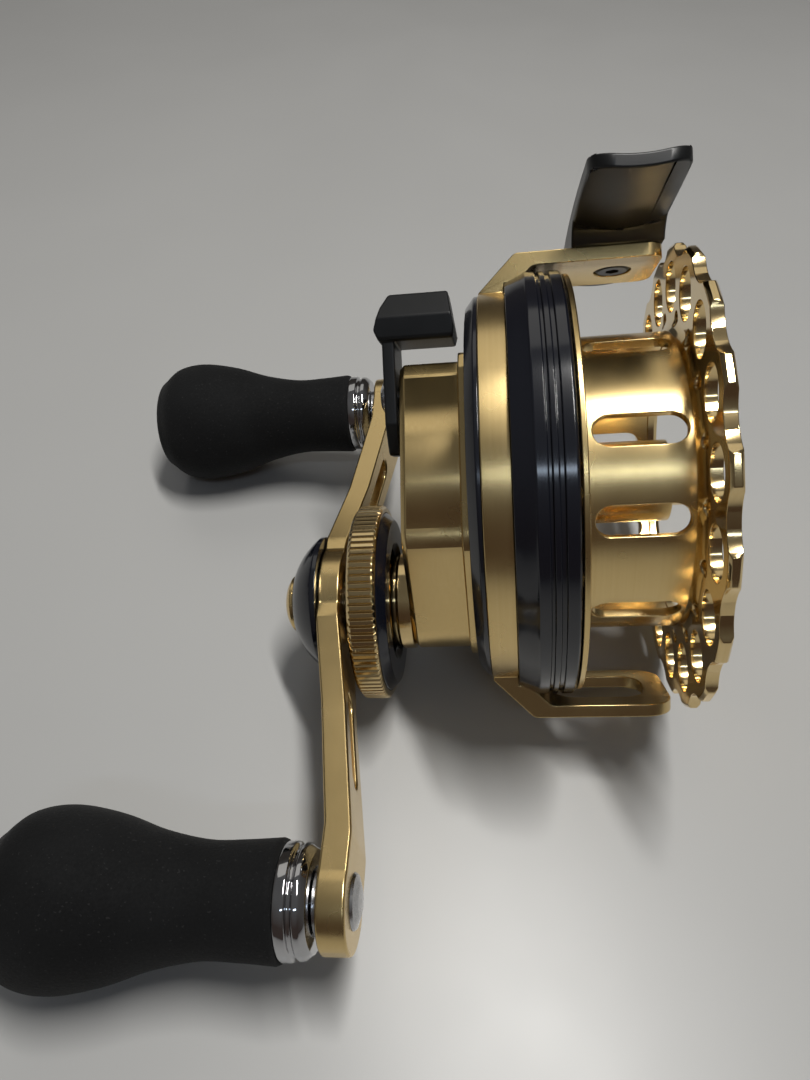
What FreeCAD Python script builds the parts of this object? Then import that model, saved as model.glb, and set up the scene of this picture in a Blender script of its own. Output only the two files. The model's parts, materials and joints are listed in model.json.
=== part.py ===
"""Single-sided geared fishing reel: frame, gear train, drag, clutch, handle and a drilled spool.

Every piece is drawn in the reel's own axes, with X along the spool's axis, from the handle side to
the spool side, Z towards the reel foot and Y square to both.  The whole reel is then leaned into the
pose that it takes on a table, where it rests on its two handle knobs and the black side ring.
"""
import FreeCAD, Part
import math
import os
import Sketcher

V = FreeCAD.Vector
X_AXIS = V(1, 0, 0)
Y_AXIS = V(0, 1, 0)

DIMENSIONS = [
    # How the reel leans on the table, in degrees.
    ("lean", 47.5), ("rest_tilt", 7.75),
    # One-piece frame: round band, web plate, upper arm for the foot, lower guard arm.
    ("band_left", -11.4), ("band_right", -7.7), ("band_radius", 28.4), ("band_bore", 26.8),
    ("web_right", -9.9), ("arm_inner", 31.1), ("arm_thick", 1.95), ("arm_half", 6.8),
    ("arm_right", 14.6), ("guard_inner", 31.6), ("guard_thick", 1.85), ("guard_half", 8.5),
    ("guard_right", 14.4), ("guard_turn", 5.5), ("bend_radius", 3.0),
    # Rod foot.
    ("foot_middle", 8.3), ("foot_width", 12.8), ("foot_near", 29.0), ("foot_far", 22.0),
    ("foot_turn", -2.0), ("foot_top", 36.4), ("foot_plate", 1.7), ("foot_hollow", 20.0),
    ("foot_pad_half", 6.5), ("foot_blend", 4.5), ("foot_screw_radius", 1.5),
    ("foot_head_radius", 2.6), ("foot_head_height", 1.2),
    # Black side ring, cover plate behind the spool and black rim cover.
    ("ring_radius", 30.9), ("ring_bore", 29.7), ("ring_wall", 0.8), ("cover_left", -1.3),
    ("cover_right", -0.5), ("rim_left", -13.2), ("rim_radius", 28.1),
    # Gear housing and its base plate.
    ("housing_left", -23.1), ("housing_right", -14.6), ("housing_wall", 1.4), ("base_grow", 1.1),
    ("crown_half", 7.6), ("crown_top", 18.2), ("brow_half", 9.2), ("brow_top", 16.2),
    ("shoulder_half", 15.2), ("shoulder_top", -7.5), ("shoulder_round", 5.0), ("toe_round", 7.7),
    ("toe_apex", -30.2),
    # Drive shaft, its sleeve, bearings and drag.
    ("shaft_drop", 16.75), ("shaft_radius", 3.0), ("tail_radius", 2.0), ("shaft_left", -40.3),
    ("shaft_right", -1.45), ("thrust_radius", 4.0), ("thrust_left", -27.9), ("sleeve_radius", 7.4),
    ("sleeve_bore", 6.3), ("sleeve_left", -26.5), ("clutch_radius", 5.8), ("running", 0.04),
    ("washer_radius", 9.0), ("washer_thick", 0.6), ("tail_bearing_radius", 3.5),
    # Gears.
    ("gear_module", 0.5), ("gear_teeth", 48), ("pinion_teeth", 19), ("gear_left", -6.2),
    ("gear_right", -3.4), ("pinion_left", -6.55), ("pinion_right", -2.7), ("backlash", 0.08),
    # Drag wheel.
    ("wheel_left", -31.3), ("wheel_right", -27.1), ("wheel_radius", 14.87), ("knurl_count", 90),
    ("knurl_depth", 0.36), ("wheel_hub", 6.2), ("liner_right", -25.9), ("liner_bore", 8.2),
    # Handle arm, its nut and the round cap over it.
    ("arm_reach", 44.65), ("hub_left", -36.7), ("hub_right", -33.4), ("tip_left", -32.2),
    ("tip_right", -28.6), ("hub_half", 8.6), ("neck_half", 4.9), ("tip_half", 6.1),
    ("cap_radius", 10.3), ("cap_left", -41.6), ("button_radius", 4.3), ("button_left", -43.2),
    # Handle knobs.
    ("knob_end", -73.4), ("knob_mouth", -37.1), ("knob_radius", 11.1), ("knob_waist", 6.95),
    ("core_radius", 4.6), ("collar_radius", 6.9), ("collar_right", -33.2), ("pin_radius", 1.9),
    ("knob_bearing_radius", 3.8),
    # Clutch lever, cam and yoke.
    ("lever_y", -4.5), ("lever_z", 14.0), ("lever_shaft_radius", 1.5), ("leg_left", -25.3),
    ("leg_right", -23.5), ("pad_left", -26.4), ("pad_right", -14.9), ("yoke_left", -7.55),
    ("yoke_right", -6.75), ("neck_radius", 3.6), ("post_y", 9.0), ("post_z", 4.0),
    ("post_radius", 0.8),
    # Spindle, spool and its bearings.
    ("spindle_radius", 2.0), ("spindle_left", -11.0), ("spindle_right", 17.4), ("hub_radius", 6.0),
    ("bearing_radius", 4.5), ("drum_radius", 21.48), ("drum_bore", 20.2), ("drum_left", 1.05),
    ("drum_right", 15.6), ("inner_flange_left", 0.25), ("inner_flange_radius", 30.3),
    ("flange_right", 17.3), ("flange_radius", 33.2), ("valley_depth", 1.7), ("lobe_count", 18),
    ("hole_circle", 27.5), ("hole_radius", 3.5), ("small_circle", 23.3), ("small_radius", 1.1),
    ("slot_half_width", 2.05), ("slot_left", 2.5), ("slot_right", 14.2),
]

doc = FreeCAD.newDocument("GearedReel")
sheet = doc.addObject("Spreadsheet::Sheet", "Dimensions")
for row, (alias, number) in enumerate(DIMENSIONS, start=1):
    sheet.set("A%d" % row, alias.replace("_", " "))
    sheet.set("B%d" % row, str(number))
    sheet.setAlias("B%d" % row, alias)
doc.recompute()


class Size:
    """A number from the sheet together with the expression that yields it."""

    def __init__(self, text, number):
        self.text = text
        self.number = number

    def _join(self, sign, other, number):
        return Size("(%s %s %s)" % (self.text, sign, as_size(other).text), number)

    def __add__(self, other):
        return self._join("+", other, self.number + as_size(other).number)

    def __sub__(self, other):
        return self._join("-", other, self.number - as_size(other).number)

    def __mul__(self, other):
        return self._join("*", other, self.number * as_size(other).number)

    def __truediv__(self, other):
        return self._join("/", other, self.number / as_size(other).number)

    def __neg__(self):
        return Size("(-1 * %s)" % self.text, -self.number)


def as_size(value):
    return value if isinstance(value, Size) else Size(repr(float(value)), float(value))


class Sheet:
    """Reads a cell of the sheet by its alias, as a Size."""

    def __getattr__(self, alias):
        return Size("Dimensions." + alias, float(sheet.get(alias)))


S = Sheet()
PIECES = []


def keep(shape_object, label, place=None):
    """Lists an object as one finished piece, with the place that it takes in the reel."""
    shape_object.Label = label
    PIECES.append((shape_object, place or FreeCAD.Placement()))
    return shape_object


def bind(target, prop, value):
    if isinstance(value, Size):
        target.setExpression(prop, value.text)
    else:
        setattr(target, prop, value)


def drawn(body, role, points, name="outline"):
    """A closed sketch through the points, each one held by dimensions from the sheet."""
    plane = [item for item in body.Origin.OriginFeatures if item.Role == role][0]
    sketch = body.newObject("Sketcher::SketchObject", name)
    sketch.AttachmentSupport = [(plane, "")]
    sketch.MapMode = "FlatFace"
    sized = [(as_size(across), as_size(up)) for across, up in points]
    count = len(sized)
    for index in range(count):
        start = V(sized[index][0].number, sized[index][1].number, 0)
        after = sized[(index + 1) % count]
        sketch.addGeometry(Part.LineSegment(start, V(after[0].number, after[1].number, 0)), False)
    for index in range(count):
        sketch.addConstraint(Sketcher.Constraint("Coincident", index, 2, (index + 1) % count, 1))
    for index, pair in enumerate(sized):
        for kind, value in zip(("DistanceX", "DistanceY"), pair):
            held = sketch.addConstraint(Sketcher.Constraint(kind, -1, 1, index, 1, value.number))
            if "Dimensions" in value.text:
                sketch.setExpression("Constraints[%d]" % held, value.text)
    return sketch


def turned(name, profile):
    """A solid turned about the X axis; the profile lists (x, radius)."""
    body = doc.addObject("PartDesign::Body", name)
    sketch = drawn(body, "XY_Plane", profile, name + "_profile")
    turn = body.newObject("PartDesign::Revolution", name + "_turn")
    turn.Profile = sketch
    turn.ReferenceAxis = (sketch, ["H_Axis"])
    turn.Angle = 360
    doc.recompute()
    return body


def tube(name, left, right, radius, bore=None):
    """A plain disc, rod or tube along X."""
    inside = 0.0 if bore is None else bore
    return turned(name, [(left, inside), (left, radius), (right, radius), (right, inside)])


def plate(name, outline, left, right):
    """A flat plate square to X; the outline lists (y, z)."""
    body = doc.addObject("PartDesign::Body", name)
    sketch = drawn(body, "YZ_Plane", outline, name + "_outline")
    sketch.AttachmentOffset = FreeCAD.Placement(V(0, 0, as_size(left).number), FreeCAD.Rotation())
    if isinstance(left, Size):
        sketch.setExpression("AttachmentOffset.Base.z", left.text)
    pad = body.newObject("PartDesign::Pad", name + "_pad")
    pad.Profile = sketch
    bind(pad, "Length", right - left if isinstance(right, Size) else as_size(right) - left)
    doc.recompute()
    return body


def bar(name, outline, width):
    """A bar whose side view lists (x, z), centred on Y."""
    body = doc.addObject("PartDesign::Body", name)
    pad = body.newObject("PartDesign::Pad", name + "_pad")
    pad.Profile = drawn(body, "XZ_Plane", outline, name + "_side")
    pad.SideType = "Symmetric"
    bind(pad, "Length", width)
    doc.recompute()
    return body


def rounded(body, radius, wanted):
    """Rounds the edges of a body that the test picks out by middle point and direction."""
    last = body.Tip
    names = []
    for index, edge in enumerate(last.Shape.Edges, start=1):
        middle = edge.valueAt((edge.FirstParameter + edge.LastParameter) / 2)
        direction = edge.tangentAt(edge.FirstParameter)
        if wanted(middle, direction):
            names.append("Edge%d" % index)
    fillet = body.newObject("PartDesign::Fillet", body.Name + "_round")
    fillet.Base = (last, names)
    bind(fillet, "Radius", radius)
    doc.recompute()
    return body


def bevelled(body, amount, x_level):
    """Breaks the outer edges of the face that lies square to X at one level."""
    last = body.Tip
    names = []
    for index, face in enumerate(last.Shape.Faces, start=1):
        box = face.BoundBox
        if abs(box.XMin - x_level) < 1e-4 and abs(box.XMax - x_level) < 1e-4:
            names.append("Face%d" % index)
    chamfer = body.newObject("PartDesign::Chamfer", body.Name + "_bevel")
    chamfer.Base = (last, names)
    bind(chamfer, "Size", amount)
    doc.recompute()
    return body


def rod(name, radius, left, right, y=0.0, z=0.0):
    """A cylinder along X, used as a tool or in a group."""
    solid = doc.addObject("Part::Cylinder", name)
    solid.Placement = FreeCAD.Placement(V(0, 0, 0), FreeCAD.Rotation(Y_AXIS, 90))
    bind(solid, "Radius", radius)
    bind(solid, "Height", as_size(right) - left)
    for prop, value in (("x", left), ("y", y), ("z", z)):
        solid.setExpression("Placement.Base." + prop, as_size(value).text)
    return solid


def across(name, radius, length, place):
    """A cylinder at any angle; it starts at the place and runs along the place's own Z."""
    solid = doc.addObject("Part::Cylinder", name)
    bind(solid, "Radius", radius)
    bind(solid, "Height", length)
    solid.Placement = place
    return solid


def block(name, low, high):
    """A box between two corners."""
    solid = doc.addObject("Part::Box", name)
    for prop, start, end in zip(("Length", "Width", "Height"), low, high):
        bind(solid, prop, as_size(end) - start)
    for prop, start in zip("xyz", low):
        solid.setExpression("Placement.Base." + prop, as_size(start).text)
    return solid


def joined(name, pieces):
    fuse = doc.addObject("Part::MultiFuse", name)
    fuse.Shapes = pieces
    return fuse


def cut(name, base, tools):
    """The base less the tools, after a check that they do take material away."""
    tool = tools[0] if len(tools) == 1 else joined(name + "_tools", tools)
    less = doc.addObject("Part::Cut", name)
    less.Base = base
    less.Tool = tool
    doc.recompute()
    if less.Shape.Volume > base.Shape.Volume - 1e-6:
        raise ValueError(name + ": the tools cut nothing")
    return less


def common(name, first, second):
    shared = doc.addObject("Part::Common", name)
    shared.Base = first
    shared.Tool = second
    return shared


def group(name, pieces):
    """Identical loose pieces that share one node."""
    gathered = doc.addObject("Part::Compound", name)
    gathered.Links = pieces
    return gathered


def formed(name, shape):
    """A piece whose shape comes from Part's own functions."""
    feature = doc.addObject("Part::Feature", name)
    feature.Shape = shape
    return feature


def turn_x(degrees, y=0.0, z=0.0):
    """A place at (0, y, z), turned about X."""
    return FreeCAD.Placement(V(0, y, z), FreeCAD.Rotation(X_AXIS, degrees))


def polar(radius, degrees):
    """(y, z) of a point at an angle about the X axis."""
    angle = math.radians(degrees)
    return radius * math.cos(angle), radius * math.sin(angle)


SHAFT = turn_x(0, 0, -S.shaft_drop.number)
HANDLE = turn_x(S.lean.number, 0, -S.shaft_drop.number)


# ---------------------------------------------------------------- frame and its fixed pieces

def strap(name, inner, thick, half, right):
    """One arm of the frame: it leaves the band by a 45 degree bend and runs flat to its end."""
    outer = inner + thick
    side = [(S.band_left, S.band_bore), (S.band_left, S.band_radius - 0.7),
            (S.band_left + outer - S.band_radius + 0.7, outer), (right, outer), (right, inner),
            (S.band_right + inner - S.band_radius + 1.4, inner),
            (S.band_right, S.band_radius - 1.4), (S.band_right, S.band_bore)]
    body = bar(name, side, half * 2)

    def at_bend(middle, direction):
        level = outer.number - middle.z < 0.01 or abs(middle.z - inner.number) < 0.01
        return abs(direction.y) > 0.9 and middle.x < 0 and level

    return rounded(body, S.bend_radius - 1.6, at_bend)


def frame():
    blank = tube("frame_blank", S.band_left, S.band_right, S.band_radius)
    upper = strap("upper_arm", S.arm_inner, S.arm_thick, S.arm_half, S.arm_right)
    rounded(upper, 2.2, lambda middle, way: abs(way.z) > 0.9 and middle.x > 14)
    lower = strap("lower_arm", S.guard_inner, S.guard_thick, S.guard_half, S.guard_right)
    rounded(lower, 4.0, lambda middle, way: abs(way.z) > 0.9 and middle.x > 14)
    window = block("guard_window", (-2.6, -5.1, S.guard_inner - 1), (11.2, 4.7, S.guard_inner + 4))
    round_window = doc.addObject("Part::Fillet", "guard_window_round")
    round_window.Base = window
    doc.recompute()
    upright = [index for index, edge in enumerate(window.Shape.Edges, start=1)
               if abs(edge.tangentAt(0).z) > 0.9]
    round_window.Edges = [(index, 3.6, 3.6) for index in upright]
    guard = cut("guard_arm", lower, [round_window])
    guard.Placement = turn_x(180 + S.guard_turn.number)
    whole = joined("frame_whole", [blank, upper, guard])
    tools = [rod("frame_bore", S.band_bore, S.web_right, S.band_right + 0.1),
             rod("frame_ring_room", S.ring_bore, S.band_right, 0),
             rod("frame_spindle_seat", S.spindle_radius, S.band_left - 1, 0),
             rod("frame_shaft_way", S.thrust_radius + 0.3, S.band_left - 1, 0, 0, -S.shaft_drop),
             rod("frame_lever_way", S.lever_shaft_radius + S.running, S.band_left - 1, 0,
                 S.lever_y, S.lever_z)]
    for side in (-1, 1):
        tools.append(rod("frame_post_seat", S.post_radius, S.band_left - 1, 0,
                         S.post_y * side, S.post_z))
    upright_place = FreeCAD.Placement(V(S.foot_middle.number, 0, S.arm_inner.number - 1),
                                      FreeCAD.Rotation())
    tools.append(across("frame_foot_hole", S.foot_screw_radius, 5, upright_place))
    tools.append(across("frame_head_recess", S.foot_head_radius + 0.1, S.foot_head_height + 1,
                        upright_place))
    return keep(cut("frame", whole, tools), "frame")


def foot_outline():
    """Plan of the rod foot with rounded corners and faintly bowed sides, in the X-Y plane."""
    half = S.foot_width.number / 2
    middle = S.foot_middle.number
    corner = 3.0
    points = []
    for sx, sy in ((1, 1), (-1, 1), (-1, -1), (1, -1)):
        end = S.foot_far.number if sy > 0 else S.foot_near.number
        straight = end - corner
        side = V(middle + sx * (half - 0.4), sy * straight, 0)
        tip = V(middle + sx * (half - 0.4 - corner), sy * end, 0)
        soft = corner * (1 - math.sqrt(0.5))
        over = V(side.x - sx * soft, sy * (end - soft), 0)
        pair = (side, over, tip)
        points.append(pair if sx * sy > 0 else pair[::-1])
    edges = []
    for index, (start, over, stop) in enumerate(points):
        edges.append(Part.Arc(start, over, stop).toShape())
        after = points[(index + 1) % 4][0]
        if index % 2 == 1:
            bulge = V(middle + (half if stop.x > middle else -half), 0, 0)
            edges.append(Part.Arc(stop, bulge, after).toShape())
        else:
            edges.append(Part.LineSegment(stop, after).toShape())
    return Part.Face(Part.Wire(edges))


def reel_foot():
    """A saddle plate, hollow along the rod, blended into a pad that sits on the upper arm.

    The foot stands a few degrees askew on its screw.
    """
    top = S.foot_top.number
    hollow = S.foot_hollow.number
    arm_top = S.arm_inner.number + S.arm_thick.number
    slab = foot_outline()
    slab.translate(V(0, 0, arm_top))
    slab = slab.extrude(V(0, 0, top + 1.2 - arm_top))
    reach = S.foot_near.number * 2 + 4
    middle = S.foot_middle.number
    start = V(middle, -reach / 2, top + hollow)
    inside = Part.makeCylinder(hollow, reach, start, Y_AXIS)
    outside = Part.makeCylinder(hollow + S.foot_plate.number, reach, start, Y_AXIS)
    shell = slab.common(outside)
    blend = S.foot_blend.number
    pad_half = S.foot_pad_half.number + blend
    level = top - 0.7
    pad = slab.common(Part.makeBox(40, 2 * pad_half, 20, V(-10, -pad_half, arm_top)))
    for side in (-1, 1):
        pad = pad.cut(Part.makeCylinder(blend, 40, V(-10, side * pad_half, level - blend), X_AXIS))
    whole = shell.fuse(pad).cut(inside)
    hole = Part.makeCylinder(S.foot_screw_radius.number, 2.4, V(middle, 0, arm_top - 0.01))
    foot = whole.cut(hole).removeSplitter()
    foot.rotate(V(middle, 0, 0), V(0, 0, 1), S.foot_turn.number)
    keep(formed("reel_foot", foot), "reel_foot")


def foot_screw():
    """Button-head screw, from inside the upper arm up into the foot."""
    body = turned("foot_screw_blank", [(0, 0), (0, S.foot_head_radius - 0.5),
                                       (0.4, S.foot_head_radius),
                                       (S.foot_head_height, S.foot_head_radius),
                                       (S.foot_head_height, S.foot_screw_radius - 0.01),
                                       (4.2, S.foot_screw_radius - 0.01), (4.2, 0)])
    socket = plate("foot_screw_socket", hexagon(0.9), -0.1, 0.8)
    upright = FreeCAD.Placement(V(S.foot_middle.number, 0, S.arm_inner.number),
                                FreeCAD.Rotation(Y_AXIS, -90))
    keep(cut("foot_screw", body, [socket]), "foot_screw", upright)


def hexagon(across_half):
    """(y, z) corners of a hexagon with the given distance from middle to flat."""
    corner = across_half / math.cos(math.radians(30))
    return [polar(corner, 60 * side) for side in range(6)]


def side_ring(frame_piece):
    """Black ring between the band and the spool, with two thin grooves round it.

    The bends of the frame's arms pass through two notches in its left edge.
    """
    groove = 0.4
    outline = [(S.band_right, S.band_bore - 0.4), (S.band_right, S.ring_radius - 1.3),
               (S.band_right + 2.4, S.ring_radius - 0.25), (S.band_right + 2.7, S.ring_radius),
               (-3.6, S.ring_radius), (-3.6, S.ring_radius - groove),
               (-3.1, S.ring_radius - groove), (-3.1, S.ring_radius), (-2.35, S.ring_radius),
               (-2.35, S.ring_radius - groove), (-1.7, S.ring_radius - groove),
               (-1.7, S.ring_radius), (-0.3, S.ring_radius), (0, S.ring_radius - 0.3),
               (0, S.ring_bore), (S.band_right + S.ring_wall, S.ring_bore),
               (S.band_right + S.ring_wall, S.band_bore - 0.4)]
    blank = turned("side_ring_blank", outline)
    keep(formed("side_ring", blank.Shape.cut(frame_piece.Shape)), "side_ring")


def gear_cover():
    """Black plate inside the ring that closes the gear chamber behind the spool."""
    edge = S.ring_bore - 0.02
    face = turned("gear_cover_blank", [(S.cover_left, 3.75), (S.cover_left, edge),
                                       (S.cover_right, edge), (S.cover_right, 3.75)])
    boss = rod("gear_cover_boss", S.tail_bearing_radius + 1.1, -3.15, S.cover_left, 0, -S.shaft_drop)
    seat = rod("gear_cover_seat", S.tail_bearing_radius, -3.2, S.cover_left, 0, -S.shaft_drop)
    whole = cut("gear_cover", joined("gear_cover_whole", [face, boss]), [seat])
    keep(whole, "gear_cover")


def rim_cover():
    """Black bevelled disc on the handle side of the band."""
    body = turned("rim_cover_blank", [(S.rim_left, 2.6), (S.rim_left, S.rim_radius - 1.5),
                                      (S.rim_left + 1.2, S.rim_radius), (S.band_left, S.rim_radius),
                                      (S.band_left, 2.6)])
    tools = shaft_ways("rim_cover", S.rim_left - 1, S.band_left + 1)
    keep(cut("rim_cover", body, tools), "rim_cover")


def shaft_ways(name, left, right):
    """The two holes that the drive shaft and the lever shaft need through a plate."""
    return [rod(name + "_shaft_way", S.thrust_radius + 0.3, left, right, 0, -S.shaft_drop),
            rod(name + "_lever_way", S.lever_shaft_radius + S.running, left, right,
                S.lever_y, S.lever_z)]


def shield(grow):
    """Outline of the gear housing, with a narrow crown and a rounded toe round the shaft."""
    right_half = [(S.crown_half + grow * 0.8, S.crown_top + grow),
                  (S.brow_half + grow, S.brow_top + grow * 0.6),
                  (S.shoulder_half + grow, S.shoulder_top - grow * 0.2)]
    left_half = [(-y, z) for y, z in reversed(right_half)]
    return right_half + [(0.0, S.toe_apex - grow * 1.8)] + left_half


def shield_plate(name, grow, left, right):
    """A plate with the housing's outline and its shoulders and toe rounded."""
    body = plate(name, shield(grow), left, right)
    toe = S.toe_apex.number + 5
    rounded(body, S.toe_round + grow, lambda at, way: abs(way.x) > 0.9 and at.z < toe)

    def at_shoulder(at, way):
        return abs(way.x) > 0.9 and abs(at.z - S.shoulder_top.number) < 1.5 and abs(at.y) > 8

    rounded(body, S.shoulder_round + grow, at_shoulder)
    rounded(body, 1.3, lambda at, way: abs(way.x) > 0.9 and at.z > 12 and abs(at.y) > 4)
    return body


def gear_housing():
    shell = shield_plate("housing_shell", as_size(0), S.housing_left, S.housing_right)
    bevelled(shell, 0.7, S.housing_left.number)
    room = shield_plate("housing_room", -S.housing_wall, S.housing_left + S.housing_wall,
                        S.housing_right + 1)
    lugs = [rod("housing_lug", 2.3, S.housing_left + 0.8, S.housing_right + 2, y, z)
            for y, z in HOUSING_SCREWS]
    tools = [cut("housing_hollow", room, lugs),
             rod("housing_shaft_way", S.thrust_radius + 0.5, S.housing_left - 1, -20, 0,
                 -S.shaft_drop),
             rod("housing_lever_way", S.lever_shaft_radius + S.running, S.housing_left - 1, -20,
                 S.lever_y, S.lever_z)]
    for y, z in HOUSING_SCREWS:
        tools.append(rod("housing_screw_way", 0.8, S.housing_left - 1, S.housing_right + 1, y, z))
        tools.append(rod("housing_head_seat", 1.55, S.housing_left - 1, S.housing_left + 1.0, y, z))
    keep(cut("gear_housing", shell, tools), "gear_housing")


HOUSING_SCREWS = ((5.6, 14.4), (11.9, -6.4), (-11.9, -6.4))


def housing_screws():
    """Three socket screws that hold the housing to its base plate."""
    screws = []
    for y, z in HOUSING_SCREWS:
        shank = rod("housing_shank", 0.79, S.housing_left + 0.9, S.housing_right + 1.2, y, z)
        head = rod("housing_head", 1.5, S.housing_left + 0.05, S.housing_left + 0.95, y, z)
        screws.append(joined("housing_screw", [shank, head]))
    keep(group("housing_screws", screws), "housing_screws")


def housing_base():
    """Gold base plate under the housing, a little wider than it."""
    body = shield_plate("base_blank", S.base_grow, S.housing_right, S.rim_left)
    tools = shaft_ways("base", S.housing_right - 1, S.rim_left + 1)
    tools.append(rod("base_middle", 2.6, S.housing_right - 1, S.rim_left + 1))
    for y, z in HOUSING_SCREWS:
        tools.append(rod("base_screw_way", 0.8, S.housing_right - 1, S.rim_left + 1, y, z))
    keep(cut("housing_base", body, tools), "housing_base")


def bearing_sleeve():
    """Stepped gold sleeve on the housing; it holds the outer main bearing."""
    body = turned("bearing_sleeve", [
        (S.sleeve_left, S.thrust_radius + 0.5), (S.sleeve_left, S.sleeve_radius - 0.9),
        (S.sleeve_left + 0.5, S.sleeve_radius - 0.4), (S.sleeve_left + 1.3, S.sleeve_radius - 0.4),
        (S.sleeve_left + 1.5, S.sleeve_radius), (S.housing_left, S.sleeve_radius),
        (S.housing_left, S.sleeve_bore), (S.sleeve_left + 0.8, S.sleeve_bore),
        (S.sleeve_left + 0.8, S.thrust_radius + 0.5)])
    keep(body, "bearing_sleeve", SHAFT)


def shaft_bearings():
    """Ball bearings of the drive shaft, one in the sleeve and one in the gear cover."""
    outer = tube("sleeve_bearing", S.sleeve_left + 0.8, S.housing_left, S.sleeve_bore,
                 S.thrust_radius + S.running)
    inner = tube("tail_bearing", -3.1, S.cover_left, S.tail_bearing_radius,
                 S.tail_radius + S.running)
    keep(outer, "sleeve_bearing", SHAFT)
    keep(inner, "tail_bearing", SHAFT)


def one_way_bearing():
    """Roller clutch that stops the handle from turning backwards."""
    outer = tube("one_way_cup", -21.0, -15.2, S.clutch_radius, S.thrust_radius + 1.35)
    rollers = []
    for number in range(8):
        y, z = polar(S.thrust_radius.number + 0.67, 45 * number)
        rollers.append(rod("one_way_roller", 0.62, -20.4, -15.8, y, z))
    keep(outer, "one_way_bearing", SHAFT)
    keep(group("one_way_rollers", rollers), "one_way_rollers", SHAFT)


def spindle():
    """Fixed steel spindle that the pinion and the spool turn on."""
    body = turned("spindle", [(S.spindle_left, 0), (S.spindle_left, S.spindle_radius),
                              (15.1, S.spindle_radius), (15.1, 1.5), (S.spindle_right, 1.5),
                              (S.spindle_right, 0)])
    keep(body, "spindle")


def spindle_nut():
    """Knurled gold nut that keeps the spool on its spindle."""
    nut = turned("spindle_nut", [(15.15, 1.5), (15.15, 3.4), (15.5, 3.8), (17.7, 3.8), (18.0, 3.4),
                                 (18.0, 0), (S.spindle_right, 0), (S.spindle_right, 1.5)])
    keep(nut, "spindle_nut")


# ---------------------------------------------------------------- gears

def involute(base, radius):
    """Roll angle minus pressure angle, where the involute of a base circle meets a radius."""
    roll = math.sqrt(max((radius / base) ** 2 - 1, 0))
    return roll - math.atan(roll)


def gear_face(teeth):
    """Outline of a spur gear in the Y-Z plane, with involute flanks and a little backlash."""
    module = S.gear_module.number
    pitch = module * teeth / 2
    base = pitch * math.cos(math.radians(20))
    tip = pitch + module * 0.95
    root = pitch - module * 1.2
    low = max(base, root)
    half_tooth = math.pi / (2 * teeth) - S.backlash.number / (2 * pitch) + involute(base, pitch)
    edges = []
    for number in range(teeth):
        middle = math.pi / 2 + 2 * math.pi * number / teeth
        following = middle + 2 * math.pi / teeth

        def flank(side, radius, centre=middle):
            angle = centre + side * (half_tooth - involute(base, radius))
            return V(0, radius * math.cos(angle), radius * math.sin(angle))

        steps = [low + (tip - low) * part for part in (0, 0.33, 0.66, 1)]
        foot = half_tooth - involute(base, low)
        up = [flank(-1, radius) for radius in steps]
        down = [flank(1, radius) for radius in reversed(steps)]
        root_start = V(0, root * math.cos(middle - foot), root * math.sin(middle - foot))
        root_end = V(0, root * math.cos(middle + foot), root * math.sin(middle + foot))
        next_root = following - foot
        halfway = (middle + foot + next_root) / 2
        valley = V(0, root * math.cos(halfway), root * math.sin(halfway))
        next_start = V(0, root * math.cos(next_root), root * math.sin(next_root))
        for flank_points in (up, down):
            curve = Part.BSplineCurve()
            curve.interpolate(flank_points)
            if flank_points is up and root < low:
                edges.append(Part.LineSegment(root_start, up[0]).toShape())
            edges.append(curve.toShape())
            if flank_points is up:
                crest = V(0, tip * math.cos(middle), tip * math.sin(middle))
                edges.append(Part.Arc(up[-1], crest, down[0]).toShape())
        if root < low:
            edges.append(Part.LineSegment(down[-1], root_end).toShape())
        edges.append(Part.Arc(root_end, valley, next_start).toShape())
    return Part.Face(Part.Wire(edges))


def drive_gear():
    """Brass gear of the drive shaft, held between the drag washers; lightened by round holes."""
    left = S.gear_left.number
    width = S.gear_right.number - left
    face = gear_face(int(S.gear_teeth.number))
    face.translate(V(left, 0, 0))
    solid = face.extrude(V(width, 0, 0))
    solid = solid.cut(Part.makeCylinder(S.shaft_radius.number + 0.02, 10, V(left - 1, 0, 0), X_AXIS))
    for number in range(6):
        y, z = polar(7.4, 60 * number)
        solid = solid.cut(Part.makeCylinder(1.8, 10, V(left - 1, y, z), X_AXIS))
    keep(formed("drive_gear", solid), "drive_gear", SHAFT)


def pinion():
    """Brass pinion with the yoke's groove and a slotted end that drives the spool's pins."""
    left = S.pinion_left.number
    face = gear_face(int(S.pinion_teeth.number))
    face.translate(V(left, 0, 0))
    solid = face.extrude(V(S.pinion_right.number - left, 0, 0))
    neck = Part.makeCylinder(S.neck_radius.number, 1.25, V(left - 1.2, 0, 0), X_AXIS)
    collar = Part.makeCylinder(4.6, 0.5, V(left - 1.6, 0, 0), X_AXIS)
    nose = Part.makeCylinder(3.4, 2.6, V(S.pinion_right.number - 0.05, 0, 0), X_AXIS)
    solid = solid.fuse([neck, collar, nose])
    bore = Part.makeCylinder(S.spindle_radius.number + S.running.number, 20, V(-12, 0, 0), X_AXIS)
    slit = Part.makeBox(1.2, 1.3, 10, V(-1.25, -0.65, -5))
    keep(formed("pinion", solid.cut(bore).cut(slit).removeSplitter()), "pinion")


# ---------------------------------------------------------------- drive shaft and drag

def drive_shaft():
    body = turned("drive_shaft", [
        (S.shaft_left, 1.2), (S.shaft_left, 2.2), (S.shaft_left + 0.3, 2.5), (S.hub_left + 0.1, 2.5),
        (S.hub_left + 0.1, S.shaft_radius), (-3.35, S.shaft_radius), (-3.35, S.tail_radius),
        (S.shaft_right, S.tail_radius), (S.shaft_right, 0), (S.shaft_left + 5.2, 0),
        (S.shaft_left + 5.2, 1.2)])
    keep(body, "drive_shaft", SHAFT)


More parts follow.
